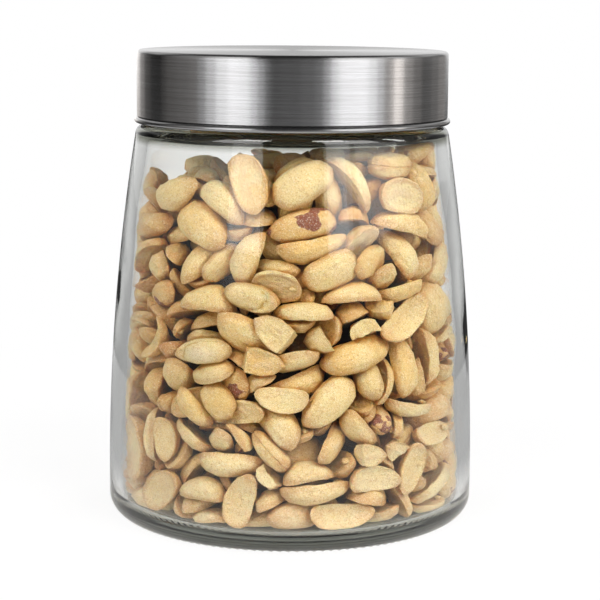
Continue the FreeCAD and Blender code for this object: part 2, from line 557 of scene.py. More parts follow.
def steel_finish(colours, sizes):
    """Stainless sheet, brushed round the side and straight across the top."""
    finish = Finish("brushed_steel")
    x, y, z = finish.split(finish.place())
    bearing = x.maths("ARCTAN2", y * -1.0)
    reach = (x * x + y * y) ** 0.5
    side = sizes.lid_radius
    on_side = reach.clipped(side - 2.4 * MM, side - 0.4 * MM)
    on_hem = reach.clipped(side + 0.1 * MM, side + 0.5 * MM)
    along_side = finish.joined(bearing * 0.0005, z, reach * 0.3)
    along_top = finish.joined(x * 0.03, y, 0.0)
    fine = {0: on_side, 2: finish.noise(along_top, 2400.0, 3.0, 0.7)}
    fine[3] = finish.noise(along_side, 3000.0, 3.0, 0.75)
    lines = finish.node("ShaderNodeMix", {"data_type": "FLOAT"}, fine)
    streaks = finish.noise(along_side, 1600.0, 2.0, 0.6)
    shade = finish.blend(lines.clipped(0.35, 0.65), STEEL_IN_LINES, colours.steel)
    shade = finish.blend(streaks.clipped(0.4, 0.7) * 0.12, shade, STEEL_IN_STREAKS)
    # painted shade on the rolled hem
    shade = finish.blend(on_hem * 0.1, shade, HEM_PAINTED_SHADE)
    relief = finish.relief(lines, 0.02 * MM, 0.15)
    metal = finish.principled(
        Base_Color=shade,
        Metallic=1.0,
        Roughness=0.19 + lines * 0.06,
        Anisotropic=0.92,
        Anisotropic_Rotation=0.25,
        Normal=relief,
    )
    return finish.done(metal)


class PEANUTJAR_OT_lid(bpy.types.Operator):
    """Models the drawn steel lid with its rolled hem"""

    bl_idname = "peanut_jar.lid"
    bl_label = "Lid"

    def execute(self, context):
        sizes = context.scene.jar_sizes
        low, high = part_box("lid_shell")
        top = high.z
        hem_r = high.x - sizes.hem_radius
        hem_z = low.z + sizes.hem_radius
        bend = hem_z + sizes.hem_radius
        inside = sizes.hem_radius - sizes.sheet
        corner_r = sizes.lid_radius - sizes.lid_corner
        corner_z = top - sizes.lid_corner
        inner_radius = sizes.lid_radius - sizes.sheet
        outline = Outline("steel_lid", 0.0, top)
        outline.to(corner_r, top, 10)
        outline.round(corner_r, corner_z, 90, 6)
        outline.to(sizes.lid_radius, bend + sizes.sheet, 12)
        outline.to(hem_r - inside, bend, 2)
        outline.to(hem_r - inside, hem_z)
        outline.round(hem_r, hem_z, -285, 24)
        outline.to(hem_r + (outline.r - hem_r) * sizes.hem_radius / inside,
                   hem_z + (outline.z - hem_z) * sizes.hem_radius / inside)
        outline.round(hem_r, hem_z, 285, 30)
        outline.to(hem_r - sizes.hem_radius, bend)
        outline.to(inner_radius, bend + sizes.sheet, 2)
        outline.to(inner_radius, corner_z, 4)
        outline.round(corner_r, corner_z, -90, 4)
        outline.to(0.0, top - sizes.sheet, 6)
        lid = outline.spun(256)
        smooth(lid)
        finish_piece(lid, steel_finish(context.scene.jar_colours, sizes), "lid_shell")
        for name, state in ((NOT_FOR_LID, "EXCLUDE"), (FOR_LID, "INCLUDE")):
            group = bpy.data.collections[name]
            group.objects.link(lid)
            group.collection_objects[0].light_linking.link_state = state
        return {"FINISHED"}


class PEANUTJAR_OT_insert(bpy.types.Operator):
    """Gives the lid's insert its plastic finish"""

    bl_idname = "peanut_jar.insert"
    bl_label = "Insert"

    def execute(self, context):
        finish = Finish("white_insert")
        plastic = finish.principled(Base_Color=context.scene.jar_colours.insert, Roughness=0.45)
        wear(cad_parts["lid_insert"], finish.done(plastic))
        return {"FINISHED"}


# ---- nuts ---------------------------------------------------------------------------------------
PLACE_ON_NUT = "place_on_nut"
NUT_TONE = "nut_tone"
NEARNESS = "nearness"  # how much of what a point faces is hidden by nuts close by
UNITS_PER_METRE = 100.0  # the nuts settle in a model this many times their size, for exact contacts
# Sizes in that model: the column that the nuts drop from, its spacings, and the fillet round the floor
COLUMN_REACH = 4.7
COLUMN_MARGIN = 0.8
COLUMN_PITCH = 1.75
LAYER_RISE = 1.45
JITTER = 0.25
CHUTE = 140  # height of the walls above the jar's mouth
FLOOR_FILLET = ((0.0, 0.55), (0.25, 0.25), (0.6, 0.0))  # (rise, share of the fillet)
NUT_SIZES = (0.82, 1.16)
NUT_STRETCH = (0.92, 1.1)
NUT_HEIGHTS = (0.9, 1.12)
GRAVITY = -60
FRAMES = 110
SUBSTEPS = 10
SOLVER_STEPS = 12
HARD_BODY = {
    "collision_shape": "CONVEX_HULL",
    "friction": 0.45,
    "restitution": 0.0,
    "use_margin": True,
    "collision_margin": 0.01,
}
LOOSE_BODY = {"linear_damping": 0.1, "angular_damping": 0.2, "use_deactivation": False}
SUNK = 0.6  # of the floor's crown, because the nuts settle on a flat floor at its top
PALENESS = 1.2  # above 1, more nuts are pale than brown
HULL_DIRECTIONS = 34
HULL_GROWTH = 1.03  # makes up for the room that a hull of few points leaves out
GOLDEN_TURN = math.pi * (3 - math.sqrt(5))  # spreads directions evenly over a ball

# The flat face of a half from its edge to its middle, as (share of the last width, rise)
FLAT_FACE = ((0.95, -0.07), (0.92, -0.02), (0.86, 0.05), (0.72, 0.06), (0.5, 0.02))
# (piece, width, height, taper, arch, bend, blunt, half length in mm, share of the heap)
HALVES = (
    ("long_halves", 0.46, 0.46, 0.18, 0.10, 0.05, 0.16, 9.8, 4),
    ("long_halves", 0.43, 0.42, 0.24, 0.26, 0.16, 0.12, 9.4, 4),
    ("long_halves", 0.49, 0.48, 0.30, 0.14, -0.14, 0.18, 9.4, 4),
    ("long_halves", 0.42, 0.42, 0.12, 0.06, 0.08, 0.22, 9.0, 4),
    ("oval_halves", 0.57, 0.50, 0.22, 0.08, -0.06, 0.16, 9.0, 4),
    ("oval_halves", 0.66, 0.46, 0.12, 0.02, 0.08, 0.20, 8.2, 4),
    ("oval_halves", 0.53, 0.54, 0.34, 0.14, 0.04, 0.12, 8.8, 4),
    ("plump_halves", 0.55, 0.60, 0.26, 0.14, -0.06, 0.16, 8.8, 4),
    ("plump_halves", 0.60, 0.52, 0.28, 0.05, 0.08, 0.14, 10.0, 3),
    ("plump_halves", 0.78, 0.48, 0.08, 0.02, -0.03, 0.16, 7.4, 3),
)
TIP_FROM = 0.45  # how far along a nut its pointed tip starts, as a share of its half length
GERM_EVERY = 3  # one model in this many keeps its germ
GERM_SIZE = (0.19, 0.12, 0.09)
GERM_PLACE = (-0.70, 0.02, -0.09)
WHOLE = ((0.50, 0.46, 0.2), (0.56, 0.50, 0.3))  # (width, height, taper)
SPLIT = ((0.46, 0.44, 0.30), (0.52, 0.42, 0.45))  # (width, height, gape)
BROKEN = ((0.54, 0.52, 0.1, 0.3), (0.54, 0.52, -0.2, -0.4), (0.54, 0.52, 0.3, 0.0))  # (..., cut, lean)


def nut_ball(name, blunt=0.15):
    """The blank of every nut, in edit mode: a divided cube drawn to a ball of radius 1, and a little
    way back to a block if it is blunt."""
    deselect_all()
    bpy.ops.mesh.primitive_cube_add(size=2)
    nut = bpy.context.object
    nut.name = name
    edit(nut)
    bpy.ops.mesh.subdivide(number_cuts=5)
    deselect_all()
    modify(nut, "CAST", cast_type="SPHERE", factor=1.0, use_radius_as_size=False, size=1.0)
    modify(nut, "CAST", cast_type="CUBOID", factor=blunt, use_radius_as_size=False, size=0.95)
    edit(nut)
    return nut


def stretch(sizes):
    """In edit mode, scales what is selected about the origin."""
    bpy.ops.transform.resize(value=sizes, center_override=(0, 0, 0))


def select_where(piece, kind, wanted):
    """In edit mode, selects the faces, edges or points for which wanted(element) is true."""
    bpy.ops.mesh.select_mode(type=kind)
    bpy.ops.mesh.select_all(action="DESELECT")
    bpy.ops.object.mode_set(mode="OBJECT")
    elements = {"FACE": piece.data.polygons, "EDGE": piece.data.edges, "VERT": piece.data.vertices}
    for element in elements[kind]:
        element.select = wanted(element)
    bpy.ops.object.mode_set(mode="EDIT")


def shape_nut(nut, taper, arch, bend, lump_size, lump_height):
    """Draws one end in to a blunt point, bows the nut and makes it uneven."""
    deselect_all()
    modify(nut, "SIMPLE_DEFORM", deform_method="TAPER", deform_axis="X", factor=taper)
    modify(nut, "DISPLACE", texture=lumps(nut.name, lump_size), strength=lump_height, mid_level=0.5)
    modify(nut, "DISPLACE", texture=lumps(nut.name + "_dents", 0.3), strength=0.08, mid_level=0.5)
    for point in nut.data.vertices:
        along = point.co.x**2 - 0.4
        point.co.y += bend * along
        point.co.z -= arch * along
        past = max(0.0, point.co.x * math.copysign(1, -taper) - TIP_FROM)
        point.co.x *= 1 + 0.05 * past
        point.co.y *= 1 - 0.2 * past


def step_in(share, rise):
    """In edit mode, makes a smaller copy of the selected face inside it, raised or sunk."""
    bpy.ops.mesh.extrude_region_move(TRANSFORM_OT_translate={"value": (0, 0, rise)})
    stretch((share, share, 1))


def half_nut(name, width, height, taper, arch, bend, blunt):
    """Half a kernel: a dome over a flat face with a low border and a shallow hollow."""
    nut = nut_ball(name, blunt)
    bpy.ops.mesh.bisect(plane_co=(0, 0, 0), plane_no=(0, 0, 1), use_fill=True, clear_inner=True)
    select_where(nut, "FACE", lambda face: face.normal.z < -0.9)
    for share, rise in FLAT_FACE:
        step_in(share, rise)
    bpy.ops.mesh.poke()
    bpy.ops.mesh.select_all(action="SELECT")
    stretch((1, width, height))
    shape_nut(nut, taper, arch, bend, 0.9, 0.16)
    return nut


def whole_nut(name, width, height, taper):
    """A whole kernel, with the groove where its two halves meet."""
    nut = nut_ball(name)
    points = nut.data.vertices
    select_where(nut, "EDGE", lambda edge: all(abs(points[k].co.z) < 0.01 for k in edge.vertices))
    bpy.ops.mesh.bevel(offset=0.09, segments=2, affect="EDGES")
    select_where(nut, "VERT", lambda point: abs(point.co.z) < 0.005)
    stretch((0.95, 0.9, 1))
    bpy.ops.mesh.select_all(action="SELECT")
    stretch((1, width, height))
    shape_nut(nut, taper, 0.05, 0.04, 0.8, 0.1)
    return nut


def split_nut(name, width, height, gape):
    """Two halves that have sprung apart at one end."""
    nut = half_nut(name, width, height, 0.2, 0.05, 0.03, 0.1)
    edit(nut)
    bpy.ops.mesh.select_all(action="SELECT")
    for turn, axis in ((gape / 2, "Y"), (math.pi, "X"), (gape / 2, "Y")):
        if axis == "X":
            bpy.ops.mesh.duplicate()
        bpy.ops.transform.rotate(value=turn, orient_axis=axis, center_override=(0.9, 0, 0))
    deselect_all()
    return nut


def germ(nut):
    """Adds the nib of the germ, which stays at the pointed end of some halves."""
    edit(nut)
    bpy.ops.mesh.select_all(action="DESELECT")
    bpy.ops.mesh.primitive_ico_sphere_add(subdivisions=1, radius=1, location=(0, 0, 0))
    stretch(GERM_SIZE)
    bpy.ops.transform.translate(value=GERM_PLACE)
    deselect_all()


def broken_nut(name, width, height, cut_at, lean):
    """Part of a half, snapped across."""
    nut = half_nut(name, width, height, 0.2, 0.08, 0.05, 0.2)
    edit(nut)
    across = (-1, lean, 0.25)
    bpy.ops.mesh.bisect(plane_co=(cut_at, 0, 0), plane_no=across, use_fill=True, clear_inner=True)
    bpy.ops.mesh.quads_convert_to_tris()
    bpy.ops.mesh.subdivide(number_cuts=1)
    deselect_all()
    modify(nut, "DISPLACE", texture=lumps(name + "_snap", 0.3), strength=0.12, mid_level=0.5)
    return nut


def size_nut(nut, half_length):
    """Brings the blank to its real size and notes each point's place on the nut."""
    places = np.empty(len(nut.data.vertices) * 3, np.float32)
    nut.data.vertices.foreach_get("co", places)
    attribute = nut.data.attributes.new(PLACE_ON_NUT, "FLOAT_VECTOR", "POINT")
    attribute.data.foreach_set("vector", places)
    edit(nut)
    stretch((half_length,) * 3)
    smooth(nut, 50)


def nut_models():
    """Every modelled nut, as (piece it belongs to, model, share of the heap)."""
    models = []
    for k, (piece, *shape, half_length, share) in enumerate(HALVES):
        nut = half_nut(f"half_{k}", *shape)
        if k % GERM_EVERY == 0:
            germ(nut)
        size_nut(nut, half_length * MM)
        models.append((piece, nut, share))
    for piece, make, shapes, half_length, share in (
        ("whole_nuts", whole_nut, WHOLE, 8.8, 1.2),
        ("split_nuts", split_nut, SPLIT, 8.8, 1.0),
        ("broken_nuts", broken_nut, BROKEN, 8.0, 1.8),
    ):
        for k, shape in enumerate(shapes):
            nut = make(f"{piece}_{k}", *shape)
            size_nut(nut, half_length * MM)
            models.append((piece, nut, share))
    return models


def settling_hull(nut):
    """A nut's outermost points in a few dozen directions, in the enlarged model's units. They are
    rounded and sorted, so that the nuts settle alike in every run."""
    places = np.unique(read(nut.data.vertices, "co").round(6), axis=0)
    directions = []
    for k in range(HULL_DIRECTIONS):
        z = 1 - (2 * k + 1) / HULL_DIRECTIONS
        across = math.sqrt(1 - z * z)
        directions.append((across * math.cos(k * GOLDEN_TURN), across * math.sin(k * GOLDEN_TURN), z))
    outermost = np.argmax((places @ np.array(directions).T).round(7), axis=0)
    points = places[np.unique(outermost)] * (HULL_GROWTH * UNITS_PER_METRE)
    mesh = bpy.data.meshes.new("hull")
    mesh.from_pydata(points.round(4).tolist(), [], [])
    return mesh


def slab(name, corners):
    """A closed box from its eight corners, the lower four first."""
    mesh = bpy.data.meshes.new(name)
    faces = [(3, 2, 1, 0), (4, 5, 6, 7), (0, 1, 5, 4), (1, 2, 6, 5), (2, 3, 7, 6), (3, 0, 4, 7)]
    mesh.from_pydata(corners, [], faces)
    made = bpy.data.objects.new(name, mesh)
    bpy.context.collection.objects.link(made)
    return made


class Settling:
    """Drops the nuts into the jar's inside and lets them come to rest, by rigid-body physics."""

    facets = 30
    tiers = 7
    wall_thickness = 3.0
    overlap = 1.05  # of neighbouring wall slabs, so that no nut finds a slit
    core_taper = 0.8

    def __init__(self, sizes, flank):
        self.sizes = sizes
        self.flank = flank
        self.scale = UNITS_PER_METRE
        self.floor = (sizes.punt_height + sizes.floor_thickness + sizes.floor_crown) * self.scale
        self.fixed = []
        self.moving = []

    def ring(self, low, high, low_radius, high_radius):
        """Fixed slabs right round the axis between two heights, in the model's units."""
        half_turn = math.pi / self.facets
        outside = low_radius + self.wall_thickness
        for k in range(self.facets):
            corners = []
            for z, r in ((low, low_radius), (high, high_radius)):
                for radius, side in ((r, -1), (r, 1), (outside, 1), (outside, -1)):
                    angle = (2 * k + side * self.overlap) * half_turn
                    reach = radius / math.cos(half_turn)
                    corners.append((reach * math.cos(angle), reach * math.sin(angle), z))
            self.fixed.append(slab("side", corners))

    def build_container(self, top, core_radius, core_top):
        inset = self.sizes.wall + self.sizes.nut_gap
        levels = [self.floor + rise for rise, _ in FLOOR_FILLET]
        fillet = self.sizes.floor_fillet * self.scale
        corner = self.flank.reach(levels[-1] / self.scale, inset) * self.scale
        radii = [corner - fillet * share for _, share in FLOOR_FILLET]
        for k in range(1, self.tiers + 1):
            z = levels[2] + (top - levels[2]) * k / self.tiers
            levels.append(z)
            radii.append(self.flank.reach(z / self.scale, inset) * self.scale)
        for k in range(len(levels) - 1):
            self.ring(levels[k], levels[k + 1], radii[k], radii[k + 1])
        self.ring(top, top + CHUTE, radii[-1], radii[-1])
        deselect_all()
        bpy.ops.mesh.primitive_cube_add(size=1, location=(0, 0, self.floor - 1))
        floor = bpy.context.object
        floor.scale = (20, 20, 2)
        self.fixed.append(floor)
        bpy.ops.mesh.primitive_cone_add(
            vertices=24,
            radius1=core_radius,
            radius2=core_radius * self.core_taper,
            depth=core_top - self.floor,
            location=(0, 0, (core_top + self.floor) / 2),
        )
        self.fixed.append(bpy.context.object)

    def strew(self, models, count, above, chance):
        """Places the hulls in a loose column over the jar."""
        hulls = [settling_hull(nut) for _, nut, _ in models]
        shares = [share for _, _, share in models]
        half = int(COLUMN_REACH / COLUMN_PITCH)
        steps = range(-half, half + 1)
        spots = [(i * COLUMN_PITCH, j * COLUMN_PITCH) for i in steps for j in steps
                 if math.hypot(i, j) * COLUMN_PITCH < COLUMN_REACH - COLUMN_MARGIN]
        layer = 0
        while len(self.moving) < count:
            z = above + layer * LAYER_RISE
            for x, y in spots:
                kind = chance.choices(range(len(models)), shares)[0]
                hull = bpy.data.objects.new("nut", hulls[kind])
                bpy.context.collection.objects.link(hull)
                turn = [chance.uniform(0, FULL_TURN) for _ in range(3)]
                size = chance.uniform(*NUT_SIZES)
                longer = chance.uniform(*NUT_STRETCH)
                hull.rotation_mode = "QUATERNION"
                hull.rotation_quaternion = Euler(turn).to_quaternion()
                hull.scale = (size * longer, size, size * chance.uniform(*NUT_HEIGHTS))
                aside, back = (chance.uniform(-JITTER, JITTER) for _ in range(2))
                hull.location = (x + aside, y + back, z)
                self.moving.append((kind, hull))
            layer += 1

    def run(self, frames):
        scene = bpy.context.scene
        scene.gravity = (0, 0, GRAVITY)
        bpy.ops.rigidbody.world_add()
        world = scene.rigidbody_world
        world.substeps_per_frame = SUBSTEPS
        world.solver_iterations = SOLVER_STEPS
        world.point_cache.frame_start = 1
        world.point_cache.frame_end = frames
        scene.frame_start = 1
        scene.frame_end = frames
        for group, kind in ((self.fixed, "PASSIVE"), ([hull for _, hull in self.moving], "ACTIVE")):
            deselect_all()
            for each in group:
                each.select_set(True)
            bpy.context.view_layer.objects.active = group[0]
            bpy.ops.rigidbody.objects_add(type=kind)
            for each in group:
                give(each.rigid_body, HARD_BODY)
                if kind == "ACTIVE":
                    give(each.rigid_body, LOOSE_BODY)
        for frame_number in range(1, frames + 1):
            scene.frame_set(frame_number)

    def places(self):
        """Where each nut came to rest, as (kind, matrix) in metres."""
        graph = bpy.context.evaluated_depsgraph_get()
        shrink = Matrix.Scale(1 / self.scale, 4)
        grow = Matrix.Scale(self.scale, 4)
        return [(kind, shrink @ hull.evaluated_get(graph).matrix_world @ grow) for kind, hull in self.moving]

    def clear(self):
        bpy.ops.rigidbody.world_remove()
        for each in self.fixed + [hull for _, hull in self.moving]:
            bpy.data.objects.remove(each)
        bpy.context.scene.frame_set(1)


def read(elements, name, width=3, kind=np.float64):
    """One property of all the points or triangles of a mesh, as rows."""
    values = np.empty(len(elements) * width, kind)
    elements.foreach_get(name, values)
    return values.reshape(-1, width)


ASKEW = (0.36, 0.48, 0.8)  # any direction that hardly a point of a nut faces
LOOK_FROM = 0.15 * MM
LOOK_REACH = 7 * MM
# Lines of sight as (lean, turn) about a point's outward direction: one straight out and two rings
LOOKS = [(0.0, 0.0)]
LOOKS += [(math.radians(35), math.radians(turn)) for turn in (0, 90, 180, 270)]
LOOKS += [(math.radians(62), math.radians(turn)) for turn in (45, 135, 225, 315)]


def note_nearness(meshes):
    """Looks out from every point of every nut along a few lines, and notes the share of them that meet
    another nut close by."""
    places = [read(mesh.vertices, "co") for mesh in meshes]
    corners = []
    start = 0
    for mesh, own in zip(meshes, places):
        mesh.calc_loop_triangles()
        corners.append(read(mesh.loop_triangles, "vertices", 3, np.int32) + start)
        start += len(own)
    heap = BVHTree.FromPolygons(
        np.concatenate(places).tolist(), np.concatenate(corners).tolist(), all_triangles=True
    )
    for mesh, own in zip(meshes, places):
        outward = read(mesh.vertices, "normal")
        sideways = np.cross(outward, ASKEW)
        sideways /= np.linalg.norm(sideways, axis=1, keepdims=True) + 1e-9
        third = np.cross(outward, sideways)
        starts = (own + outward * LOOK_FROM).tolist()
        met = np.zeros(len(own))
        for lean, turn in LOOKS:
            around = sideways * math.cos(turn) + third * math.sin(turn)
            lines = (outward * math.cos(lean) + around * math.sin(lean)).tolist()
            met += [heap.ray_cast(a, b, LOOK_REACH)[0] is not None for a, b in zip(starts, lines)]
        nearness = mesh.attributes.new(NEARNESS, "FLOAT", "POINT")
        nearness.data.foreach_set("value", met / len(LOOKS))


# Colours of a nut by its tone, from the palest to the brownest
KERNEL_TONES = (
    (0.0, (0.94, 0.72, 0.35)),
    (0.45, (0.92, 0.66, 0.28)),
    (0.8, (0.88, 0.58, 0.20)),
    (0.95, (0.79, 0.46, 0.16)),
    (1.0, (0.67, 0.35, 0.12)),
)
CREAM = (0.96, 0.81, 0.46)
PAINTED_TABLE_LIGHT = (0.97, 0.82, 0.56)  # painted light from the table: the nuts near the floor are paler
BROWNED = (0.58, 0.25, 0.06)
DARK_HOLLOW = (0.70, 0.43, 0.22)
DUSTY_HOLLOW = (0.97, 0.80, 0.58)
TOASTED = (0.62, 0.31, 0.09)
RED_SKIN = (0.27, 0.07, 0.035)
PORE = (0.48, 0.21, 0.05)
POWDER = (0.98, 0.92, 0.75)
# painted shade where other nuts are close
SHADE_NEAR_OTHERS = (0.83, 0.64, 0.35)
# painted shade deep in the heap
DEEP_SHADE = (0.02, 0.006, 0.001)
# heights over which the painted light from the table fades out
LOW_DOWN_LEVELS = (10 * MM, 55 * MM)
SKINNED_TONES = (0.84, 0.91)  # only nuts of these tones keep rags of skin
SELF_SHADE = (3 * MM, 12 * MM)  # depths in the heap between which the light fades out


def kernel_finish(sizes):
    """Blanched, dry roasted nut: cream to golden, browner at its edges, powdery, with a few rags of red
    skin. Painted shade darkens it the deeper it lies in the heap and where other nuts are close, and painted
    light from the table makes it paler near the floor."""
    finish = Finish("roasted_kernel")
    place = finish.attribute(PLACE_ON_NUT, "Vector")
    tone = finish.attribute(NUT_TONE)
    along, across, up = finish.split(place)
    turn = finish.joined(tone * 37.0, tone * 11.0, tone * 23.0)
    shifted = finish.node("ShaderNodeVectorMath", {"operation": "ADD"}, {0: place, 1: turn})
    grain = finish.noise(shifted, 26.0, 3.0, 0.7)
    dimples = finish.noise(shifted, 7.0, 3.0, 0.6)
    lengthwise = finish.node("ShaderNodeMapping", {}, {"Vector": shifted, "Scale": (1.0, 3.5, 3.5)})
    ridges = finish.noise(lengthwise, 2.0, 3.0, 0.6)
    mottle = finish.noise(shifted, 1.6, 3.0, 0.6)
    toast = finish.noise(shifted, 3.5, 3.0, 0.65)
    first, last = SKINNED_TONES
    rags = finish.noise(shifted, 1.3, 2.0, 0.5).clipped(0.57, 0.6) * tone.clipped(first, first + 0.005)
    rags = rags * (1.0 - tone.clipped(last - 0.005, last))
    low_down = 1.0 - finish.split(finish.place())[2].clipped(*LOW_DOWN_LEVELS)
    reach = (along * along * 0.8 + across * across * 2.4) ** 0.5
    flat = 1.0 - up.clipped(-0.02, 0.06)
    rim = reach.clipped(0.66, 0.84) * (1.0 - reach.clipped(0.9, 1.1)) * (1.0 - up.clipped(0.1, 0.25))
    ends = along.maths("ABSOLUTE").clipped(0.55, 1.15)
    middle = flat * (1.0 - reach.clipped(0.2, 0.7))
    dusty = (tone * 9.0).maths("FRACT").clipped(0.35, 0.65)
    # painted shade between the nuts, weaker near the floor where the painted light from the table is
    near = finish.attribute(NEARNESS).clipped(0.08, 0.75) * (1.0 - 0.35 * low_down)
    body = finish.ramp(tone, *KERNEL_TONES)
    for share, shade in (
        (mottle.clipped(0.42, 0.75) * 0.5, CREAM),
        # painted light from the table near the floor
        (low_down * 0.35, PAINTED_TABLE_LIGHT),
        ((ends * 0.6).highest(rim * 0.5), BROWNED),
        (middle * 0.6, finish.blend(dusty, DARK_HOLLOW, DUSTY_HOLLOW)),
        (toast.clipped(0.55, 0.75) * 0.45, TOASTED),
        (rags, RED_SKIN),
        ((1.0 - grain.clipped(0.34, 0.46)) * 0.65, PORE),
        (grain.clipped(0.54, 0.66) * 0.6, POWDER),
    ):
        body = finish.blend(share, body, shade)
    # painted shade between the nuts, by how near other nuts are
    body = finish.blend(near, body, SHADE_NEAR_OTHERS, "MULTIPLY")
    nut = finish.principled(
        Base_Color=body,
        Roughness=0.42,
        Normal=finish.relief(grain * 0.4 + dimples * 1.1 + ridges * 0.8, 1.0 * MM, 0.85),
        Subsurface_Weight=0.25,
        Subsurface_Radius=(1.0, 0.45, 0.15),
        Subsurface_Scale=2.0 * MM,
    )
    # painted shade: a dark nut mixed in the deeper a place lies in the heap, a little less near the floor
    painted_deep_shade = finish.principled(Base_Color=DEEP_SHADE, Roughness=0.9, Specular_IOR_Level=0.0)
    return finish.done(finish.mixed(self_shade(finish, sizes) * (0.97 - 0.3 * low_down), nut, painted_deep_shade))


def self_shade(finish, sizes):
    """How deep in the heap a place lies: 0 at its outside and 1 where hardly any light comes."""
    x, y, z = finish.split(finish.place())
    reach = (x * x + y * y) ** 0.5
    off_belly = z - sizes.belly_height
    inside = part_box("peanut_heap")[1].x
    from_glass = inside - off_belly * off_belly / (2 * sizes.flank_radius) - reach
    across = x / inside
    hump = (1.0 - across * across) * sizes.heap_hump
    from_top = sizes.fill_height + across * (sizes.heap_tilt / 2) + hump - z
    return from_glass.maths("MINIMUM", from_top).clipped(*SELF_SHADE)


def core_finish():
    # painted shade: the core is coloured the dark brown of the shade between the inner nuts
    finish = Finish("heap_core")
    depth = finish.noise(finish.place(), 140.0)
    shade = finish.ramp(depth, (0.35, (0.03, 0.014, 0.005)), (0.65, (0.10, 0.05, 0.018)))
    return finish.done(finish.principled(Base_Color=shade, Roughness=0.8))


class PEANUTJAR_OT_nuts(bpy.types.Operator):
    """Models the nuts, lets them settle in the jar and joins them, one piece for each kind"""

    bl_idname = "peanut_jar.nuts"
    bl_label = "Nuts"

    def execute(self, context):
        sizes = context.scene.jar_sizes
        chance = random.Random(sizes.seed)
        models = nut_models()
        settling = Settling(sizes, Flank(sizes))
        scale = UNITS_PER_METRE
        neck_in = sizes.fill_height + sizes.heap_tilt
        settling.build_container(neck_in * scale, sizes.core_radius * scale, sizes.core_height * scale)
        count, frames = ((sizes.nut_count, FRAMES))
        settling.strew(models, count, neck_in * scale + 1, chance)
        settling.run(frames)
        resting = settling.places()
        settling.clear()
        self.gather(models, resting, sizes, chance, kernel_finish(sizes))
        self.core(sizes)
        return {"FINISHED"}

    def in_heap(self, place, sizes, flank, box):
        """Whether a nut's centre lies inside the glass and under the heap's sloping top."""
        low, high = box
        if not low.z < place.z < high.z:
            return False
        across = 2 * place.x / (high.x - low.x)
        slope = sizes.heap_tilt * across / 2 + sizes.heap_hump * (1 - across * across)
        under_top = place.z < sizes.fill_height + slope - sizes.top_trim
        return under_top and math.hypot(place.x, place.y) < flank.reach(place.z, sizes.wall)

    def gather(self, models, resting, sizes, chance, finish):
        copies = {}
        flank = Flank(sizes)
        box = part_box("peanut_heap")
        for kind, matrix in resting:
            piece, nut, _ = models[kind]
            tone = chance.random() ** PALENESS
            matrix.translation.z -= sizes.floor_crown * SUNK
            if not self.in_heap(matrix.translation, sizes, flank, box):
                continue
            mesh = nut.data.copy()
            mesh.transform(matrix)
            tones = mesh.attributes.new(NUT_TONE, "FLOAT", "POINT")
            tones.data.foreach_set("value", [tone] * len(mesh.vertices))
            copy = bpy.data.objects.new(piece, mesh)
            bpy.context.collection.objects.link(copy)
            copies.setdefault(piece, []).append(copy)
        note_nearness([copy.data for nuts in copies.values() for copy in nuts])
        for _, nut, _ in models:
            bpy.data.objects.remove(nut)
        for piece, nuts in copies.items():
            deselect_all()
            for copy in nuts:
                copy.select_set(True)
            bpy.context.view_layer.objects.active = nuts[0]
            bpy.ops.object.join()
            joined = bpy.context.object
            joined.name = piece
            finish_piece(joined, finish, "peanut_heap")

    def core(self, sizes):
        """What lies behind the outermost nuts: a dark cylinder inside the heap."""
        floor = sizes.punt_height + sizes.floor_thickness + sizes.floor_crown + sizes.nut_gap
        deselect_all()
        bpy.ops.mesh.primitive_cylinder_add(
            vertices=96,
            radius=sizes.core_radius - MM,
            depth=sizes.core_height - floor,
            location=(0, 0, (sizes.core_height + floor) / 2),
        )
        core = bpy.context.object
        core.name = "heap_core"
        settle_place(core)
        edit(core)
        bpy.ops.mesh.inset(thickness=4 * MM)
        deselect_all()
        smooth(core)
        # a dark body where there is only shade between the nuts, coloured as painted shade
        finish_piece(core, core_finish(), "peanut_heap")


# ---- stage --------------------------------------------------------------------------------------
CAMERA_DISTANCE = 603.9 * MM
CAMERA_HEIGHT = 168.3 * MM
CAMERA_ASIDE = 2.9 * MM
CAMERA_PITCH = 0.164
CAMERA_ROLL = 0.0076
CAMERA_LENS = 113.3

LAMP_DISTANCE = 0.9
# (name, bearings of the two sides in degrees, heights of the lower and upper edge, watts)
LAMPS = (
    ("left_softbox", -60, -22, 0.44, 1.2, 6.7),
    ("right_softbox", 24, 66, 0.44, 1.2, 9.2),
    ("high_left_softbox", -50, -20, 1.0, 1.6, 10.5),
    ("high_right_softbox", 20, 50, 1.0, 1.6, 12.0),
    ("left_pane", -42, -20, 0.16, 0.42, 0.55),
    ("right_pane", 24, 41, 0.16, 0.42, 0.50),
    ("right_far_pane", 45, 80, 0.16, 0.42, 0.55),
    ("right_strip", 83, 90, 0.40, 1.0, 2.2),
    ("left_rear_softbox", -150, -118, 0.44, 1.0, 6.0),
    ("right_rear_softbox", 125, 155, 0.44, 1.0, 6.0),
)
# What the lid's side reflects right round, as (bearing in degrees, brightness)
LID_STRIPS = (
    (-170, 0.5), (-158, 0.4), (-148, 0.22), (-136, 0.06), (-124, 0.0), (-108, 0.0), (-102, 0.06),
    (-90, 0.07), (-78, 0.08), (-70, 0.14), (-63, 0.45), (-55, 1.0), (-46, 1.65), (-38, 1.75),
    (-30, 1.45), (-24, 1.0), (-19, 0.35), (-15, 0.08), (-8, 0.07), (6, 0.12), (16, 0.16), (22, 0.28),
    (27, 0.9), (33, 1.4), (46, 1.8), (55, 1.45), (62, 1.0), (68, 0.32), (73, 0.25), (77, 1.1),
    (82, 1.8), (86, 0.35), (96, 0.2), (106, 0.04), (120, 0.02), (132, 0.12), (150, 0.16),
)
LID_WARM = (1.0, 0.93, 0.88)  # colour of the strips at the far sides
LID_COOL = (0.965, 0.975, 1.0)  # colour of those nearer the front
LID_WARM_FROM = 68
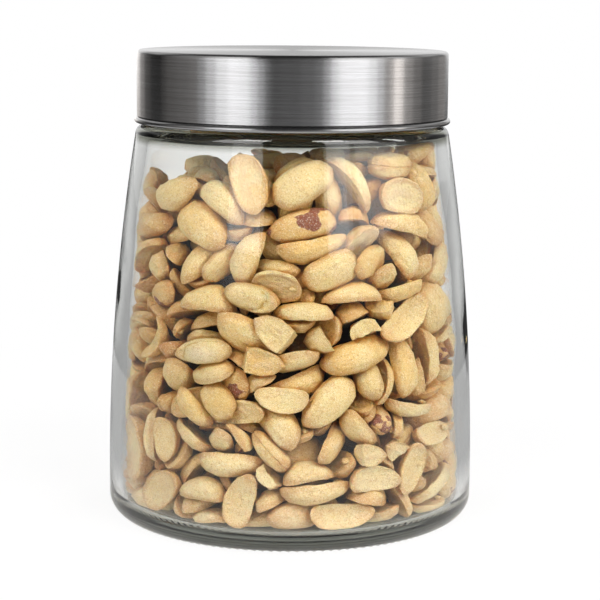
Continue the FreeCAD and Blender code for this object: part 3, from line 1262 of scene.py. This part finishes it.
LID_STRIP_LEVEL = (0.0, 0.22)  # heights between which those strips stand
# What is seen through the glass, as (how far straight behind the jar, from -1 to 1, brightness)
SEEN_THROUGH = ((-0.6, 0.03), (-0.3, 0.35), (0.05, 0.5), (0.72, 0.6), (0.93, 1.0))
AMBIENT = (0.05, 0.05, 0.05)
TABLE_REACH = 0.32  # radius of the white part of the table that shines in the glass
# What the studio looks like right round, as (bearing in degrees, brightness)
STUDIO = (
    (-180, 0.9), (-156, 0.8), (-146, 0.25), (-130, 0.04), (-112, 0.0), (-104, 0.10), (-90, 0.24),
    (-70, 0.34), (-65, 0.7), (-44, 1.1), (-32, 0.9), (-27, 0.06), (-16, 0.05), (20, 0.10), (27, 0.18),
    (32, 1.0), (50, 1.2), (70, 0.9), (77, 0.3), (84, 0.8), (90, 0.8), (94, 0.42), (112, 0.18),
    (135, 0.20), (150, 0.16), (156, 0.7), (180, 0.9),
)
# What is seen through the glass by height, from straight down to straight up, as (share, brightness)
SEEN_BY_HEIGHT = ((0.0, 0.5), (0.42, 1.0), (0.62, 1.0), (0.72, 0.30), (1.0, 0.16))
HORIZON = ((0.02, 0.1), (0.06, 1.0))  # how the studio behind the jar comes up out of the dark table
REAR_SKY = (0.45, 0.45, 0.45)
ZENITH = (0.03, 0.03, 0.03)
TABLE_SHINE = (0.06, 0.06, 0.06)  # of the dark part of the table
MID_GREY = (0.5, 0.5, 0.5)
WHITE = (1, 1, 1)
# The table seen through the glass, by distance as a share of UNDER_REACH: a painted shadow, dark under the
# jar
SHADOW_UNDER_GLASS = ((0.1, 0.05), (0.3, 0.25), (1.0, 1.0))
UNDER_REACH = 0.4
TABLE_SIZE = 6.0


class PEANUTJAR_OT_stage(bpy.types.Operator):
    """Sets the camera, the lamps, the white surroundings and the pale table"""

    bl_idname = "peanut_jar.stage"
    bl_label = "Stage"

    def execute(self, context):
        scene = context.scene
        scene.view_settings.view_transform = "Standard"
        deselect_all()
        bpy.ops.object.camera_add(location=(CAMERA_ASIDE, -CAMERA_DISTANCE, CAMERA_HEIGHT))
        camera = bpy.context.object
        tilt = Matrix.Rotation(math.pi / 2 - CAMERA_PITCH, 3, "X")
        camera.rotation_euler = (tilt @ Matrix.Rotation(CAMERA_ROLL, 3, "Z")).to_euler()
        camera.data.lens = CAMERA_LENS
        camera.data.sensor_width = 36.0
        scene.camera = camera
        self.lamps()
        self.surroundings(scene)
        self.table(scene.jar_colours)
        return {"FINISHED"}

    def lamps(self):
        """Upright soft lamps. A bearing of 0 is the viewer's side and 90 is to the viewer's right. The
        lid has strips of its own, because the softboxes would burn out its top."""
        not_for_lid = bpy.data.collections.new(NOT_FOR_LID)
        for_lid = bpy.data.collections.new(FOR_LID)
        for name, first, last, low, high, power in LAMPS:
            lamp = self.lamp(name, first, last, low, high)
            lamp.data.energy = power
            lamp.light_linking.receiver_collection = not_for_lid
            seen_in_glass = "rear" not in name
            lamp.visible_transmission = seen_in_glass
            lamp.visible_glossy = seen_in_glass
        for (first, left), (last, right) in zip(LID_STRIPS, LID_STRIPS[1:]):
            lamp = self.lamp("lid_strip", first, last, *LID_STRIP_LEVEL)
            lamp.data.energy = 2 * (left + right) * lamp.data.size * lamp.data.size_y
            lamp.data.color = LID_WARM if min(abs(first), abs(last)) >= LID_WARM_FROM else LID_COOL
            lamp.light_linking.receiver_collection = for_lid

    def lamp(self, name, first, last, low, high):
        middle = math.radians((first + last) / 2)
        place = Vector((math.sin(middle), -math.cos(middle), 0)) * LAMP_DISTANCE
        place.z = (low + high) / 2
        bpy.ops.object.light_add(type="AREA", location=place)
        lamp = bpy.context.object
        lamp.name = name
        lamp.data.shape = "RECTANGLE"
        lamp.data.size = 2 * LAMP_DISTANCE * math.tan(math.radians(last - first) / 2)
        lamp.data.size_y = high - low
        lamp.rotation_euler = (math.pi / 2, 0, middle)
        lamp.visible_camera = False
        return lamp

    def surroundings(self, scene):
        """White to the eye and through the glass. What shines in glass and steel is a studio that is
        bright behind the jar and dim elsewhere; what lights the jar is an even grey."""
        world = bpy.data.worlds.new("studio")
        scene.world = world
        world.use_nodes = True
        room = Finish.around(world)
        seen, through, shining = room.rays("Camera", "Transmission", "Glossy")
        aside, away, up = room.split(room.node("ShaderNodeTexCoord", output="Generated"))
        turn = aside.maths("ARCTAN2", away * -1.0) / FULL_TURN + 0.5
        shine = room.greys(turn, [((bearing + 180) / 360, level) for bearing, level in STUDIO])
        behind = away.clipped(0.2, 0.6)
        shine = room.blend(1.0 - behind, shine, room.greys(up, HORIZON), "MULTIPLY")
        shine = room.blend(up.clipped(0.25, 0.4) * away.clipped(0.3, 0.6), shine, REAR_SKY)
        shine = room.blend(up.clipped(0.62, 0.78), shine, ZENITH)
        shade = room.blend(shining.highest(through), AMBIENT, shine)
        by_height = room.greys(up * 0.5 + 0.5, SEEN_BY_HEIGHT)
        by_side = room.greys(away * 0.5 + 0.5, [(0.5 + y / 2, level) for y, level in SEEN_THROUGH])
        glow = room.blend(1.0, by_height, by_side, "MULTIPLY")
        brighter = room.node("ShaderNodeVectorMath", {"operation": "MAXIMUM"}, {0: shade, 1: glow})
        shade = room.blend(through, shade, brighter)
        shade = room.blend(seen, shade, WHITE)
        light = room.node("ShaderNodeBackground", {}, {"Color": shade})
        room.feed(room.output.inputs["Surface"], light)

    def table(self, colours):
        bpy.ops.mesh.primitive_plane_add(size=TABLE_SIZE, location=(0, 0, 0))
        floor = bpy.context.object
        floor.name = "table"
        finish = Finish("pale_table")
        plain = finish.principled(Base_Color=colours.floor, Roughness=0.7)
        place = finish.place()
        away = finish.node("ShaderNodeVectorMath", {"operation": "LENGTH"}, {0: place}, "Value")
        straight = finish.split(place)[1] / away
        seen, through, shining = finish.rays("Camera", "Transmission", "Glossy")
        near = 1.0 - away.clipped(TABLE_REACH - 0.01, TABLE_REACH + 0.01)
        shade = finish.blend(near, TABLE_SHINE, MID_GREY)
        shade = finish.blend(through * straight.clipped(-0.6, -0.2), shade, MID_GREY)
        # painted shadow of the jar on the table, seen through the glass
        under = finish.greys(away / UNDER_REACH, SHADOW_UNDER_GLASS)
        shade = finish.blend(through * straight.clipped(0.72, 0.93), shade, under)
        shade = finish.blend(seen, shade, WHITE)
        glow = finish.node("ShaderNodeEmission", {}, {"Color": shade, "Strength": 1.0})
        outside = away.clipped(0.05, 0.12)
        bare = 0.88 + 0.12 * away.clipped(0.08, 0.3)  # what the jar's shadow leaves of the white
        share = (seen * bare).highest(through * outside)
        share = share.highest((shining - through) * outside)
        floor.data.materials.append(finish.done(finish.mixed(share, plain, glow)))


class PEANUTJAR_PT_panel(bpy.types.Panel):
    """Sizes, colours and the steps that build the jar"""

    bl_label = "Peanut Jar"
    bl_idname = "PEANUTJAR_PT_panel"
    bl_space_type = "VIEW_3D"
    bl_region_type = "UI"
    bl_category = "Peanut Jar"

    def draw(self, context):
        layout = self.layout
        for group in (context.scene.jar_sizes, context.scene.jar_colours):
            column = layout.column(align=True)
            for name in group.__annotations__:
                column.prop(group, name)
        for step in STEPS:
            layout.operator(step.bl_idname)


STEPS = (
    PEANUTJAR_OT_stage,
    PEANUTJAR_OT_lid,
    PEANUTJAR_OT_insert,
    PEANUTJAR_OT_nuts,
    PEANUTJAR_OT_glass,
)
CLASSES = (JarSizes, JarColours, *STEPS, PEANUTJAR_PT_panel)


def register():
    for cls in CLASSES:
        bpy.utils.register_class(cls)
    bpy.types.Scene.jar_sizes = PointerProperty(type=JarSizes)
    bpy.types.Scene.jar_colours = PointerProperty(type=JarColours)


def unregister():
    del bpy.types.Scene.jar_colours
    del bpy.types.Scene.jar_sizes
    for cls in reversed(CLASSES):
        bpy.utils.unregister_class(cls)


def main():
    register()
    for step in STEPS:
        group, name = step.bl_idname.split(".")
        getattr(getattr(bpy.ops, group), name)()


if __name__ == "__main__":
    main()
